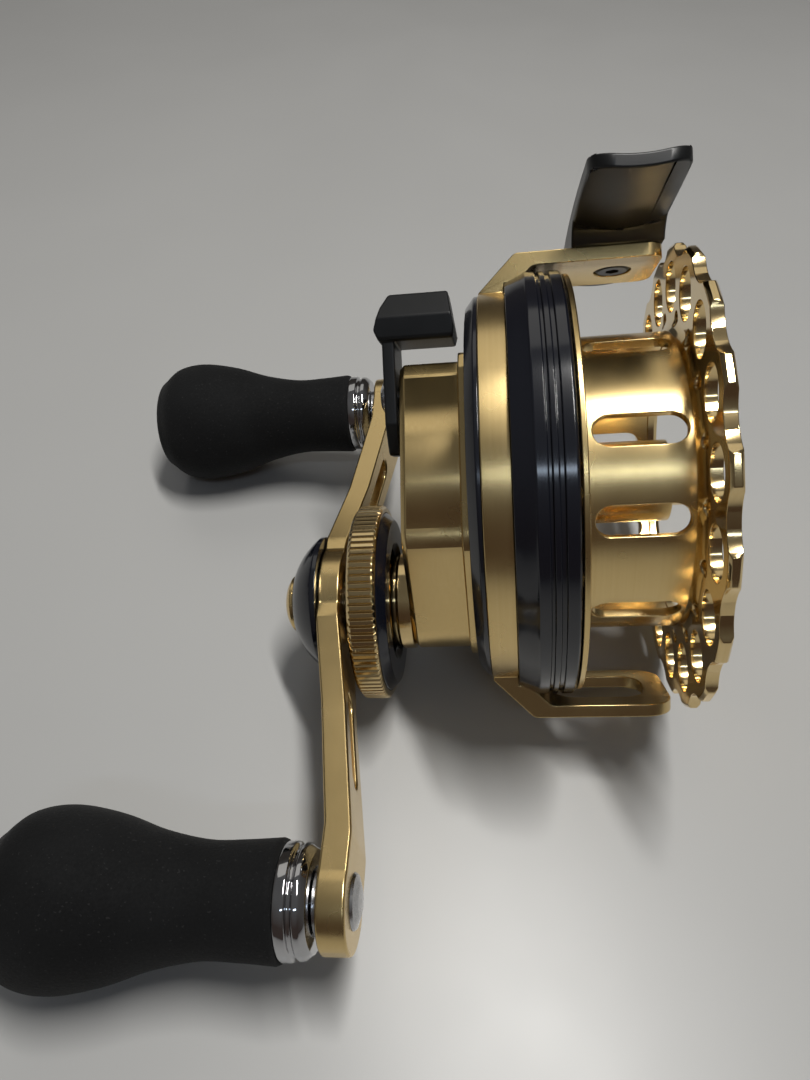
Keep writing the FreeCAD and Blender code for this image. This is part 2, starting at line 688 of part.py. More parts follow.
def drag_stack():
    """Pressure plate, fibre washers and keyed plates between the thrust tube and the gear."""
    tube_body = tube("thrust_tube", S.thrust_left, -9.45, S.thrust_radius, S.shaft_radius + 0.02)
    keep(tube_body, "thrust_tube", SHAFT)
    keep(tube("pressure_plate", -9.4, -8.65, S.washer_radius, S.shaft_radius + 0.02),
         "pressure_plate", SHAFT)
    fibre = [tube("fibre_disc", -8.6, -8.0, S.washer_radius - 0.2, S.shaft_radius + 0.4),
             tube("fibre_disc", -6.85, -6.25, S.washer_radius - 0.2, S.shaft_radius + 0.4)]
    keep(group("drag_washers", fibre), "drag_washers", SHAFT)
    keep(tube("keyed_plate", -7.95, -6.9, S.washer_radius, S.shaft_radius + 0.02),
         "keyed_plate", SHAFT)
    springs = []
    for number in range(2):
        left = -29.35 + 0.7 * number
        lip = 0.35 if number == 0 else 0.0
        springs.append(turned("cupped_washer", [
            (left + lip, S.shaft_radius + 0.1), (left + 0.35 - lip, 5.6),
            (left + 0.65 - lip, 5.6), (left + 0.3 + lip, S.shaft_radius + 0.1)]))
    keep(group("spring_washers", springs), "spring_washers", SHAFT)


def knurled(name, left, right, radius, depth, count):
    """A disc with straight grooves round its rim."""
    points = []
    for number in range(int(count.number)):
        start = 2 * math.pi * number / count.number
        step = 2 * math.pi / count.number
        for part, level in ((0.0, 0.0), (0.55, 0.0), (0.78, 1.0)):
            reach = radius.number - depth.number * level
            angle = start + part * step
            points.append(V(left.number, reach * math.cos(angle), reach * math.sin(angle)))
    points.append(points[0])
    face = Part.Face(Part.makePolygon(points))
    return formed(name, face.extrude(V(right.number - left.number, 0, 0)))


def drag_wheel():
    """Knurled gold wheel that screws along the shaft and squeezes the drag."""
    blank = turned("wheel_blank", [
        (-33.1, S.shaft_radius + S.running), (-33.1, S.wheel_hub - 0.4), (-32.8, S.wheel_hub),
        (S.wheel_left + 0.35, S.wheel_hub), (S.wheel_left, S.wheel_hub + 0.35),
        (S.wheel_left, S.wheel_radius - 0.7), (S.wheel_left + 0.7, S.wheel_radius + 0.1),
        (S.wheel_right - 0.5, S.wheel_radius + 0.1), (S.wheel_right, S.wheel_radius - 0.5),
        (S.wheel_right, S.wheel_radius - 1.1), (-28.4, S.wheel_radius - 1.1), (-28.4, 6.4),
        (-29.6, 6.4), (-29.6, S.shaft_radius + S.running)])
    teeth = knurled("wheel_knurl", S.wheel_left - 2, S.wheel_right + 2, S.wheel_radius,
                    S.knurl_depth, S.knurl_count)
    boss = rod("wheel_boss", S.wheel_hub, -33.2, S.wheel_left)
    keep(common("drag_wheel", blank, joined("wheel_limit", [teeth, boss])), "drag_wheel", SHAFT)


def wheel_liner():
    """Black ring pressed into the wheel's open side."""
    body = turned("wheel_liner", [
        (-28.35, S.liner_bore), (-28.35, S.wheel_radius - 1.15),
        (S.wheel_right, S.wheel_radius - 1.15), (S.liner_right, S.wheel_radius - 2.4),
        (S.liner_right, S.liner_bore + 0.8), (S.liner_right - 0.8, S.liner_bore)])
    keep(body, "wheel_liner", SHAFT)


# ---------------------------------------------------------------- handle and knobs

def handle_arm():
    """Bowed double arm: the hub stands out and the tips come back towards the reel."""
    reach = S.arm_reach
    top = [(S.hub_left, 0.0), (S.hub_left, 7.0), (S.tip_left, 37.0),
           (S.tip_left, reach + S.tip_half + 0.5), (S.tip_right, reach + S.tip_half + 0.5),
           (S.tip_right, 38.0), (S.hub_right, 6.0)]
    side = top + [(x, -as_size(u)) for x, u in reversed(top[1:])]
    profile = doc.addObject("PartDesign::Body", "handle_side")
    pad = profile.newObject("PartDesign::Pad", "handle_side_pad")
    pad.Profile = drawn(profile, "XY_Plane", side, "handle_side_view")
    pad.SideType = "Symmetric"
    pad.Length = 40
    doc.recompute()
    rounded(profile, 6.0, lambda at, way: abs(way.z) > 0.9 and 4 < abs(at.y) < 40)
    outline = plate("handle_front", [
        (-reach, -S.tip_half * 0.96), (-S.arm_reach * 0.45, -S.neck_half),
        (-7.5, -S.hub_half * 0.82), (7.5, -S.hub_half * 0.82), (S.arm_reach * 0.45, -S.neck_half),
        (reach, -S.tip_half * 0.96), (reach, S.tip_half * 0.96), (S.arm_reach * 0.45, S.neck_half),
        (7.5, S.hub_half * 0.82), (-7.5, S.hub_half * 0.82), (-S.arm_reach * 0.45, S.neck_half),
        (-reach, S.tip_half * 0.96)], -45.0, -20.0)
    discs = [rod("handle_hub", S.hub_half, -45, -20)]
    holes = [rod("handle_bore", S.shaft_radius, -45, -20)]
    for side_sign in (-1, 1):
        discs.append(rod("handle_tip", S.tip_half, -45, -20, reach * side_sign, 0))
        holes.append(rod("handle_pin_seat", S.pin_radius, -45, -20, reach * side_sign, 0))
        middle = 23.5 * side_sign
        holes.append(block("handle_slot", (-45, middle - 5, -2.0), (-20, middle + 5, 2.0)))
        for end in (-5, 5):
            holes.append(rod("handle_slot_end", 2.0, -45, -20, middle + end, 0))
    plan = joined("handle_plan", [outline] + discs)
    blank = common("handle_blank", profile, plan)
    keep(cut("handle_arm", blank, holes), "handle_arm", HANDLE)


def handle_nut():
    """Hexagon nut that clamps the arm to the shaft, under the cap."""
    body = plate("handle_nut_blank", hexagon(4.5), -39.9, S.hub_left - 0.05)
    bore = rod("handle_nut_bore", 2.51, -41, -36)
    keep(cut("handle_nut", body, [bore]), "handle_nut", HANDLE)


def hub_cap():
    """Black dome over the nut; a gold screw with a round head holds it."""
    left = S.cap_left.number
    right = S.hub_left.number
    radius = S.cap_radius.number
    outer = [V(left, 1.6, 0), V(left, 4.6, 0), V(right - 0.7, radius, 0), V(right, radius, 0)]
    inner = [V(right, radius - 1.6, 0), V(left + 1.2, 4.8, 0), V(left + 1.2, 1.6, 0)]
    mid_out = V(left + 2.0, 8.2, 0)
    mid_in = V(left + 2.6, 7.3, 0)
    edges = [Part.LineSegment(outer[0], outer[1]).toShape(),
             Part.Arc(outer[1], mid_out, outer[2]).toShape(),
             Part.LineSegment(outer[2], outer[3]).toShape(),
             Part.LineSegment(outer[3], inner[0]).toShape(),
             Part.Arc(inner[0], mid_in, inner[1]).toShape(),
             Part.LineSegment(inner[1], inner[2]).toShape(),
             Part.LineSegment(inner[2], outer[0]).toShape()]
    solid = Part.Face(Part.Wire(edges)).revolve(V(0, 0, 0), X_AXIS, 360)
    keep(formed("hub_cap", solid), "hub_cap", HANDLE)


def cap_screw():
    """Gold round-head screw through the cap, into the end of the shaft."""
    left = S.button_left.number
    radius = S.button_radius.number
    seat = S.cap_left.number - 0.02
    stem = S.shaft_left.number + 4.8
    dome = Part.Arc(V(left, 0, 0), V(left + 0.35, radius * 0.72, 0), V(seat - 0.5, radius, 0))
    edges = [dome.toShape(),
             Part.LineSegment(V(seat - 0.5, radius, 0), V(seat, radius, 0)).toShape(),
             Part.LineSegment(V(seat, radius, 0), V(seat, 1.19, 0)).toShape(),
             Part.LineSegment(V(seat, 1.19, 0), V(stem, 1.19, 0)).toShape(),
             Part.LineSegment(V(stem, 1.19, 0), V(stem, 0, 0)).toShape(),
             Part.LineSegment(V(stem, 0, 0), V(left, 0, 0)).toShape()]
    solid = Part.Face(Part.Wire(edges)).revolve(V(0, 0, 0), X_AXIS, 360)
    keep(formed("cap_screw", solid), "cap_screw", HANDLE)


def grip_shape():
    """Pear-shaped foam grip: a curve from the fat end, through the waist, to the collar."""
    end = S.knob_end.number
    mouth = S.knob_mouth.number
    fat = S.knob_radius.number
    waist = S.knob_waist.number
    bore = S.core_radius.number
    curve = Part.BSplineCurve()
    curve.interpolate([V(end + 0.9, 8.7, 0), V(end + 3.6, 10.55, 0), V(end + 8.0, fat, 0),
                       V(end + 14.0, 10.05, 0), V(end + 20.0, 8.1, 0), V(end + 26.0, waist, 0),
                       V(end + 31.0, 6.98, 0), V(mouth - 0.6, 7.25, 0)])
    edges = [Part.LineSegment(V(end, bore, 0), V(end, 7.6, 0)).toShape(),
             Part.Arc(V(end, 7.6, 0), V(end + 0.25, 8.25, 0), V(end + 0.9, 8.7, 0)).toShape(),
             curve.toShape(),
             Part.LineSegment(V(mouth - 0.6, 7.25, 0), V(mouth, 6.8, 0)).toShape(),
             Part.LineSegment(V(mouth, 6.8, 0), V(mouth, bore, 0)).toShape(),
             Part.LineSegment(V(mouth, bore, 0), V(end, bore, 0)).toShape()]
    return Part.Face(Part.Wire(edges)).revolve(V(0, 0, 0), X_AXIS, 360)


def knob(letter, side):
    """One handle knob: foam grip on a core, chrome collar, two bearings and a riveted pin."""
    seat = HANDLE.multiply(FreeCAD.Placement(V(0, side * S.arm_reach.number, 0),
                                             FreeCAD.Rotation()))
    keep(formed("grip_" + letter, grip_shape()), "knob_grip_" + letter, seat)
    core = turned("core_" + letter, [
        (S.knob_end + 1.0, 0), (S.knob_end + 1.0, S.core_radius - 0.01),
        (S.knob_mouth - 0.05, S.core_radius - 0.01), (S.knob_mouth - 0.05, S.knob_bearing_radius),
        (-41.2, S.knob_bearing_radius), (-41.2, 2.6), (-57.5, 2.6),
        (-57.5, S.knob_bearing_radius), (-61.4, S.knob_bearing_radius), (-61.4, 0)])
    keep(core, "knob_core_" + letter, seat)
    collar = turned("collar_" + letter, [
        (S.knob_mouth, 2.9), (S.knob_mouth, S.collar_radius - 0.15),
        (S.knob_mouth + 0.3, S.collar_radius), (S.knob_mouth + 1.5, S.collar_radius - 0.05),
        (S.knob_mouth + 1.7, S.collar_radius - 0.55), (S.knob_mouth + 2.2, S.collar_radius - 0.55),
        (S.knob_mouth + 2.4, S.collar_radius - 0.15), (S.collar_right - 0.8, S.collar_radius - 0.3),
        (S.collar_right, S.collar_radius - 1.0), (S.collar_right, 2.9)])
    keep(collar, "knob_collar_" + letter, seat)
    races = [tube("knob_bearing", S.knob_mouth - 3.9, S.knob_mouth - 0.1,
                  S.knob_bearing_radius, S.pin_radius + S.running),
             tube("knob_bearing", -61.3, -57.6, S.knob_bearing_radius, S.pin_radius + S.running)]
    keep(group("knob_bearings_" + letter, races), "knob_bearings_" + letter, seat)
    pin = turned("pin_" + letter, [
        (-61.3, 0), (-61.3, S.pin_radius), (S.collar_right + 0.2, S.pin_radius),
        (S.collar_right + 0.2, 4.0), (S.tip_left - 0.02, 4.0), (S.tip_left - 0.02, S.pin_radius),
        (S.tip_right + 0.02, S.pin_radius), (S.tip_right + 0.02, 3.3), (S.tip_right + 0.35, 3.1),
        (S.tip_right + 0.8, 1.8), (S.tip_right + 0.9, 0)])
    keep(pin, "knob_pin_" + letter, seat)


# ---------------------------------------------------------------- clutch lever and yoke

def clutch_lever():
    """Black moulded lever: a thumb pad over the housing on a flat leg beside it."""
    leg = plate("lever_leg", [(-9.2, 22.6), (-0.6, 22.6), (-0.6, 8.0), (-2.4, 5.3), (-6.4, 5.3),
                              (-9.2, 9.5)], S.leg_left, S.leg_right)
    rounded(leg, 1.2, lambda at, way: abs(way.x) > 0.9 and at.z < 12)
    pad_end = plate("lever_pad_section", [
        (-9.6, 21.3), (-10.1, 24.6), (-8.0, 28.2), (-2.4, 28.8), (-0.4, 27.4), (-0.4, 22.6),
        (-2.0, 21.3)], S.pad_left, S.pad_right)
    rounded(pad_end, 0.8, lambda at, way: abs(way.x) > 0.9)
    pad_side = bar("lever_pad_side", [
        (S.pad_left + 0.9, 20.9), (S.pad_left, 22.9), (S.pad_left + 1.0, 26.2),
        (S.pad_left + 2.6, 29.0), (S.pad_right - 0.9, 29.0), (S.pad_right, 22.8),
        (S.pad_right - 0.3, 20.9)], 24.0)
    pad = common("lever_pad", pad_end, pad_side)
    whole = joined("lever_whole", [leg, pad])
    bore = rod("lever_bore", S.lever_shaft_radius, -30, -20, S.lever_y, S.lever_z)
    keep(cut("clutch_lever", whole, [bore]), "clutch_lever")


def lever_parts():
    """Screw of the lever, and the shaft that carries its turn through to the cam."""
    place = turn_x(0, S.lever_y.number, S.lever_z.number)
    head = turned("lever_screw", [
        (S.leg_left - 0.95, 0), (S.leg_left - 0.95, 1.5), (S.leg_left - 0.55, 2.3),
        (S.leg_left - 0.02, 2.3), (S.leg_left - 0.02, 1.0), (-23.9, 1.0), (-23.9, 0)])
    keep(head, "lever_screw", place)
    shaft = turned("lever_shaft", [
        (-25.2, 1.01), (-25.2, S.lever_shaft_radius), (S.yoke_right + 0.3, S.lever_shaft_radius),
        (S.yoke_right + 0.3, 3.0), (-5.2, 3.0), (-5.2, 0), (-23.85, 0), (-23.85, 1.01)])
    keep(shaft, "lever_shaft", place)


def clutch_yoke():
    """Fork that slides on two posts and carries the pinion along the spindle."""
    outline = [(-10.6, 2.2), (-10.6, 5.8), (-7.0, 16.6), (-2.0, 16.6), (3.4, 8.0), (10.6, 5.8),
               (10.6, 2.2), (5.4, -1.6), (-5.4, -1.6)]
    body = plate("yoke_blank", outline, S.yoke_left, S.yoke_right)
    tools = [rod("yoke_neck_way", S.neck_radius + 0.1, -9, -5),
             block("yoke_mouth", (-9, -S.neck_radius - 0.1, -4), (-5, S.neck_radius + 0.1, 0)),
             rod("yoke_lever_way", S.lever_shaft_radius + 0.1, -9, -5, S.lever_y, S.lever_z)]
    for side in (-1, 1):
        tools.append(rod("yoke_post_way", S.post_radius + S.running, -9, -5,
                         S.post_y * side, S.post_z))
    keep(cut("clutch_yoke", body, tools), "clutch_yoke")


def yoke_posts():
    posts = []
    for side in (-1, 1):
        place = (S.post_y * side, S.post_z)
        stem = rod("yoke_post_stem", S.post_radius - 0.005, S.band_left + 0.02, -4.2, *place)
        head = rod("yoke_post_head", S.post_radius + 0.6, -4.2, -3.6, *place)
        posts.append(joined("yoke_post", [stem, head]))
    keep(group("yoke_posts", posts), "yoke_posts")


def yoke_springs():
    """Two short coil springs of square wire that press the yoke back into gear."""
    half, mean = 0.17, 1.25
    height = S.yoke_left.number - S.web_right.number - 2 * half - 0.1
    helix = Part.makeHelix(height / 3.5, height, mean)
    corners = [V(mean + out * half, 0, up * half)
               for out, up in ((-1, -1), (1, -1), (1, 1), (-1, 1), (-1, -1))]
    coil = Part.Wire(helix.Edges).makePipeShell([Part.makePolygon(corners)], True, True)
    coil.rotate(V(0, 0, 0), Y_AXIS, 90)
    springs = []
    for side in (-1, 1):
        spring = coil.copy()
        spring.translate(V(S.web_right.number + half + 0.05, side * S.post_y.number,
                           S.post_z.number))
        springs.append(spring)
    keep(formed("yoke_springs", Part.makeCompound(springs)), "yoke_springs")


# ---------------------------------------------------------------- spool

SLOT_PAIRS = 5
SLOT_SPREAD = 15.5


def spool_drum():
    """Slotted drum in one piece with its inner flange, its spoked web and its hub."""
    blank = turned("drum_blank", [
        (S.inner_flange_left, S.bearing_radius), (S.inner_flange_left, S.inner_flange_radius),
        (S.drum_left, S.inner_flange_radius), (S.drum_left, S.drum_radius + 0.5),
        (S.drum_left + 0.5, S.drum_radius), (S.drum_right, S.drum_radius),
        (S.drum_right, S.drum_bore), (S.drum_left + 1.2, S.drum_bore),
        (S.drum_left + 1.2, S.hub_radius), (S.drum_right - 0.6, S.hub_radius),
        (S.drum_right - 0.6, S.bearing_radius), (11.7, S.bearing_radius), (11.7, 3.2),
        (3.6, 3.2), (3.6, S.bearing_radius)])
    tools = []
    for pair in range(SLOT_PAIRS):
        for side in (-1, 1):
            angle = 179 + 360 / SLOT_PAIRS * pair + side * SLOT_SPREAD
            tools += slot_tool(angle)
    for number in range(5):
        y, z = polar(13.1, 36 + 72 * number)
        tools.append(rod("web_hole", 4.9, -1, 3, y, z))
    keep(cut("spool_drum", blank, tools), "spool_drum")


def slot_tool(angle):
    """A round-ended slot through the drum's wall, square to it at one angle."""
    half = S.slot_half_width
    turn = FreeCAD.Rotation(X_AXIS, angle)
    body = doc.addObject("Part::Box", "slot_box")
    bind(body, "Length", S.slot_right - S.slot_left - half * 2)
    body.Width = 6
    bind(body, "Height", half * 2)
    start = V(S.slot_left.number + half.number, S.drum_radius.number - 4, -half.number)
    body.Placement = FreeCAD.Placement(turn.multVec(start), turn)
    ends = []
    for x in (S.slot_left.number + half.number, S.slot_right.number - half.number):
        along = turn.multiply(FreeCAD.Rotation(X_AXIS, -90))
        foot = turn.multVec(V(x, S.drum_radius.number - 4, 0))
        ends.append(across("slot_end", half, 6, FreeCAD.Placement(foot, along)))
    return [body] + ends


def spool_flange():
    """Scalloped outer flange with a ring of large holes and a ring of small ones."""
    blank = turned("flange_blank", [
        (S.drum_right, S.drum_bore), (S.drum_right, S.drum_radius),
        (S.drum_right - 0.9, S.drum_radius + 0.02), (S.drum_right - 0.4, S.drum_radius + 0.6), (S.drum_right, S.drum_radius + 1.6),
        (S.drum_right, S.flange_radius - 0.5), (S.drum_right + 0.4, S.flange_radius),
        (S.flange_right - 0.4, S.flange_radius), (S.flange_right, S.flange_radius - 0.5),
        (S.flange_right, S.drum_bore + 0.6), (S.flange_right - 0.6, S.drum_bore)])
    tools = []
    step = 360 / S.lobe_count.number
    valley = 6.0
    for number in range(int(S.lobe_count.number)):
        y, z = polar(S.hole_circle.number, 180 + step * number)
        tools.append(rod("flange_hole", S.hole_radius, 14, 19, y, z))
        y, z = polar(S.small_circle.number, 180 + step * (number + 0.5))
        tools.append(rod("flange_small_hole", S.small_radius, 14, 19, y, z))
        middle = S.flange_radius.number - S.valley_depth.number + valley
        y, z = polar(middle, 180 + step * (number + 0.5))
        tools.append(rod("flange_valley", valley, 14, 19, y, z))
    keep(cut("spool_flange", blank, tools), "spool_flange")


def spool_bearings():
    races = [tube("spool_bearing", 0.7, 3.55, S.bearing_radius, S.spindle_radius + S.running),
             tube("spool_bearing", 11.75, 14.9, S.bearing_radius, S.spindle_radius + S.running)]
    keep(group("spool_bearings", races), "spool_bearings")


def drive_pins():
    """Dog ring in the spool's hub, whose two pins drop into the pinion's slot."""
    ring = tube("dog_ring", 0.0, 0.65, S.bearing_radius - 0.01, 2.3)
    pins = [rod("dog_pin", 0.5, -1.0, 0.1, 0, side * 2.8) for side in (-1, 1)]
    keep(joined("drive_dog", [ring] + pins), "drive_dog")


# ---------------------------------------------------------------- assembly

def build_all():
    frame_piece = frame()
    reel_foot()
    foot_screw()
    side_ring(frame_piece)
    gear_cover()
    rim_cover()
    gear_housing()
    housing_screws()
    housing_base()
    bearing_sleeve()
    shaft_bearings()
    one_way_bearing()
    spindle()
    spindle_nut()
    drive_gear()
    pinion()
    drive_shaft()
    drag_stack()
    drag_wheel()
    wheel_liner()
    handle_arm()
    handle_nut()
    hub_cap()
    cap_screw()
    knob("a", 1)
    knob("b", -1)
    clutch_lever()
    lever_parts()
    clutch_yoke()
    yoke_posts()
    yoke_springs()
    spool_drum()
    spool_flange()
    spool_bearings()
    drive_pins()


def stand_up():
    """Leans every piece into the resting pose and brings the base centre to the origin."""
    lean = FreeCAD.Rotation(X_AXIS, -S.lean.number)
    tilt = FreeCAD.Rotation(Y_AXIS, -S.rest_tilt.number)
    stance = FreeCAD.Placement(V(0, 0, 0), tilt.multiply(lean))
    box = FreeCAD.BoundBox()
    for piece, place in PIECES:
        piece.Placement = stance.multiply(place)
        box.add(piece.Shape.optimalBoundingBox(False))
    offset = V(-box.Center.x, -box.Center.y, -box.ZMin)
    for piece, place in PIECES:
        piece.Placement = FreeCAD.Placement(offset, FreeCAD.Rotation()).multiply(piece.Placement)
    print("stand offset", [round(value, 5) for value in offset])
    print("size", [round(value, 3) for value in (box.XLength, box.YLength, box.ZLength)])


def write_all():
    for item in doc.Objects:
        if "Invalid" in item.State or "Error" in item.State:
            raise ValueError("%s failed: %s" % (item.Label, item.State))
    os.makedirs("parts", exist_ok=True)
    for piece, _ in PIECES:
        if piece.Shape.isNull() or not piece.Shape.isValid():
            raise ValueError(piece.Label + " has no valid shape")
        piece.Shape.exportStep("parts/%s.step" % piece.Label)
    print(len(PIECES), "pieces written")


build_all()
doc.recompute()
stand_up()
doc.recompute()
write_all()
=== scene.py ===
import json
import math

import bmesh
import bpy
from mathutils import Euler, Matrix, Vector

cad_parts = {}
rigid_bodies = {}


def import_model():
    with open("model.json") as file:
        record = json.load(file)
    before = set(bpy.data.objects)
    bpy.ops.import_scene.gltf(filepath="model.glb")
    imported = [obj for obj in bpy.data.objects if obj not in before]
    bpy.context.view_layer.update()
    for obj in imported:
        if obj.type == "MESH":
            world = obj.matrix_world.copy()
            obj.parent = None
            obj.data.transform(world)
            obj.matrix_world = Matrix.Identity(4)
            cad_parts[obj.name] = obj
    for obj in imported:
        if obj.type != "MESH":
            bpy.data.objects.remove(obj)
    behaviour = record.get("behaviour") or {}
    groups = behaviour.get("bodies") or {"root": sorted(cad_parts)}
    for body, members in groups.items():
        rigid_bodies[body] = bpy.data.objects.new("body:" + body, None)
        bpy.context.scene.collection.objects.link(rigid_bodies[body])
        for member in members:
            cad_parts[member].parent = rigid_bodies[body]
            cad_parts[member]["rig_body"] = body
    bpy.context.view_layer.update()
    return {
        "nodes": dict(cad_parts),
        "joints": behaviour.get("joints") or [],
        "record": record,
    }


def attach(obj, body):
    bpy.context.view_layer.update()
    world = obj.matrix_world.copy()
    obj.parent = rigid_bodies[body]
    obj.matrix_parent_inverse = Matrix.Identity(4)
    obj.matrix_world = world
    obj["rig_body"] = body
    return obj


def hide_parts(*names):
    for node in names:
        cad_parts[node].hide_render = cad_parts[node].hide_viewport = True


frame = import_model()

nodes = frame["nodes"]
joints = {joint["name"]: joint for joint in frame["joints"]}
slots = {part["node"]: part["material_slot"] for part in frame["record"]["subparts"]}
MM = 0.001

# ---- How the reel lies on the table.
# Its own axes are X along the spindle, from the handle side to the spool side, Z towards the rod
# foot, and Y across.  It leans back and tips a little, onto its two knobs and its side ring.
LEAN = math.radians(-47.5)
TIP = math.radians(-7.75)
SPOOL_FROM_MIDDLE = 8 * MM
own_axes = Euler((LEAN, TIP, 0)).to_matrix().to_4x4()
spool_place = Vector(joints["spool_spin"]["pos_m"])
reel_middle = (Matrix.Translation(spool_place) @ own_axes
               @ Matrix.Translation((-SPOOL_FROM_MIDDLE, 0, 0)))

# ---- Camera: close above the reel's near side, looking down at it by about 50 degrees.
# It is a hand-held wide view, about 13 cm from the spool, so the near knob looks much the larger.
CAMERA_FROM_SPOOL = Vector((-0.028398, -0.086371, 0.087563))
CAMERA_TURN = (39.8858, -0.7151, 2.9685)
camera_data = bpy.data.cameras.new("camera")
camera_data.lens = 27.166
camera_data.sensor_width = 36
camera_data.clip_start = 0.005
camera = bpy.data.objects.new("camera", camera_data)
camera.location = spool_place + CAMERA_FROM_SPOOL
camera.rotation_euler = [math.radians(angle) for angle in CAMERA_TURN]
bpy.context.scene.collection.objects.link(camera)
bpy.context.scene.camera = camera
bpy.context.scene.view_settings.view_transform = "Standard"


# ---- Table top: a pale laminate sheet, matte with a faint sheen and hardly any texture.
# It is printed in one even tone, and its plastic face is pressed slightly pebbled.
class Socket:
    """One output of a material's nodes; arithmetic on it adds the Math nodes."""

    def __init__(self, tree, plug):
        self.tree = tree
        self.plug = plug

    def node(self, kind, settings=None, inputs=None, output=0):
        made = self.tree.nodes.new("ShaderNode" + kind)
        for name, value in (settings or {}).items():
            if name == "stops":
                while len(made.color_ramp.elements) < len(value):
                    made.color_ramp.elements.new(1.0)
                for stop, (position, color) in zip(made.color_ramp.elements, value):
                    stop.position = position
                    stop.color = (*color, 1.0)
            else:
                setattr(made, name, value)
        for name, value in (inputs or {}).items():
            if isinstance(value, Socket):
                self.tree.links.new(value.plug, made.inputs[name])
            else:
                made.inputs[name].default_value = value
        return Socket(self.tree, made.outputs[output])

    def beside(self, output):
        return Socket(self.tree, self.plug.node.outputs[output])

    def math(self, operation, first, second=0.0):
        return self.node("Math", {"operation": operation}, {0: first, 1: second})

    def __add__(self, other):
        return self.math("ADD", self, other)

    __radd__ = __add__

    def __sub__(self, other):
        return self.math("SUBTRACT", self, other)

    def __rsub__(self, other):
        return self.math("SUBTRACT", other, self)

    def __mul__(self, other):
        return self.math("MULTIPLY", self, other)

    __rmul__ = __mul__

    def __pow__(self, power):
        return self.math("POWER", self, power)

    def noise(self, scale, detail=2.0, roughness=0.5):
        return self.node("TexNoise", {}, {"Vector": self, "Scale": scale, "Detail": detail,
                                          "Roughness": roughness})

    def ramp(self, *stops):
        return self.node("ValToRGB", {"stops": stops}, {"Fac": self})

    def clamped(self, low, high, new_low, new_high):
        return self.node("MapRange", {}, {"Value": self, "From Min": low, "From Max": high,
                                          "To Min": new_low, "To Max": new_high})

    def bump(self, distance, strength=1.0):
        return self.node("Bump", {}, {"Height": self, "Distance": distance, "Strength": strength})


def new_finish(name, **constants):
    """A material with its constant sockets set, and the piece's coordinates as a Socket."""
    material = bpy.data.materials.new(name)
    material.use_nodes = True
    tree = material.node_tree
    for key, value in constants.items():
        tree.nodes["Principled BSDF"].inputs[key.replace("_", " ")].default_value = value
    return material, Socket(tree, tree.nodes.new("ShaderNodeTexCoord").outputs["Object"])


def feed(material, **values):
    """Links changing values to the material's own sockets."""
    shader = material.node_tree.nodes["Principled BSDF"]
    for key, value in values.items():
        material.node_tree.links.new(value.plug, shader.inputs[key.replace("_", " ")])


laminate, place = new_finish("pale_laminate", Metallic=0.0, Specular_IOR_Level=0.6)
cloud = place.noise(9.0, 3.0)
feed(laminate, Base_Color=cloud.ramp((0.3, (0.475, 0.474, 0.466)), (0.75, (0.505, 0.504, 0.496))),
     Roughness=place.noise(40.0).clamped(0.3, 0.7, 0.34, 0.38),
     Normal=place.noise(2500.0, 3.0).bump(0.00001, 0.3))
bpy.ops.mesh.primitive_plane_add(size=3.0, location=(0, 0.3, 0))
table_top = bpy.context.object
table_top.name = "table_top"
table_top.data.materials.append(laminate)


# ---- Light: a ceiling lamp overhead, a small cool lamp over the near side and a soft room.
# The far wall is lit and the near side is dim, so the reel's round parts turn from light to brown.
REEL_HEART = Vector((0.01, 0, 0.03))


def lamp(name, place, size, power, color):
    """A rectangular lamp that faces the reel."""
    data = bpy.data.lights.new(name, "AREA")
    data.shape = "RECTANGLE"
    data.size, data.size_y = size
    data.energy = power
    data.color = color
    light = bpy.data.objects.new(name, data)
    light.location = place
    aim = REEL_HEART - light.location
    light.rotation_euler = aim.to_track_quat("-Z", "Y").to_euler()
    bpy.context.scene.collection.objects.link(light)


lamp("ceiling_lamp", (0.10, 0.045, 0.62), (0.30, 0.035), 2.75, (1.0, 0.985, 0.95))
lamp("near_lamp", (0.10, -0.72, 1.05), (0.5, 0.05), 0.8, (0.70, 0.83, 1.0))
lamp("far_wall", (-0.2, 1.1, 1.2), (1.2, 0.8), 1.5, (1.0, 0.97, 0.90))

room = bpy.data.worlds.new("room")
room.use_nodes = True
bpy.context.scene.world = room
sky = Socket(room.node_tree, room.node_tree.nodes.new("ShaderNodeTexCoord").outputs["Generated"])
depth = sky.node("SeparateXYZ", {}, {0: sky}, 1)
height = depth.beside(2)
walls = (depth * 0.5 + 0.5).ramp((0.0, (0.056, 0.042, 0.037)), (0.16, (0.056, 0.043, 0.038)),
                                 (0.30, (0.085, 0.08, 0.076)), (0.55, (0.08, 0.076, 0.07)),
                                 (0.85, (0.045, 0.04, 0.036)))
overhead = height.clamped(0.35, 0.85, 0.0, 1.0)
shade = sky.node("Mix", {"data_type": "RGBA"}, {"Factor": overhead, "A": walls,
                                               "B": (0.115, 0.115, 0.115, 1.0)}, 2)
room.node_tree.links.new(shade.plug, room.node_tree.nodes["Background"].inputs["Color"])
room.node_tree.nodes["Background"].inputs["Strength"].default_value = 1.0


# ---- Frame: one piece of aluminium, turned and milled, brushed round its band and anodised gold.
# A round band carries a bent upper arm for the rod foot and a windowed guard arm below.
def round_the_spindle(place):
    """Coordinates that change only along the reel's axis and outwards, as a lathe's marks do."""
    turned = place.node("Mapping", {"vector_type": "TEXTURE"}, {
        "Vector": place, "Location": reel_middle.translation, "Rotation": (LEAN, TIP, 0)})
    along = turned.node("SeparateXYZ", {}, {0: turned})
    across = along.beside(1)
    up = along.beside(2)
    radius = (across * across + up * up) ** 0.5
    return along.node("CombineXYZ", {}, {"X": along, "Y": radius, "Z": 0.0})


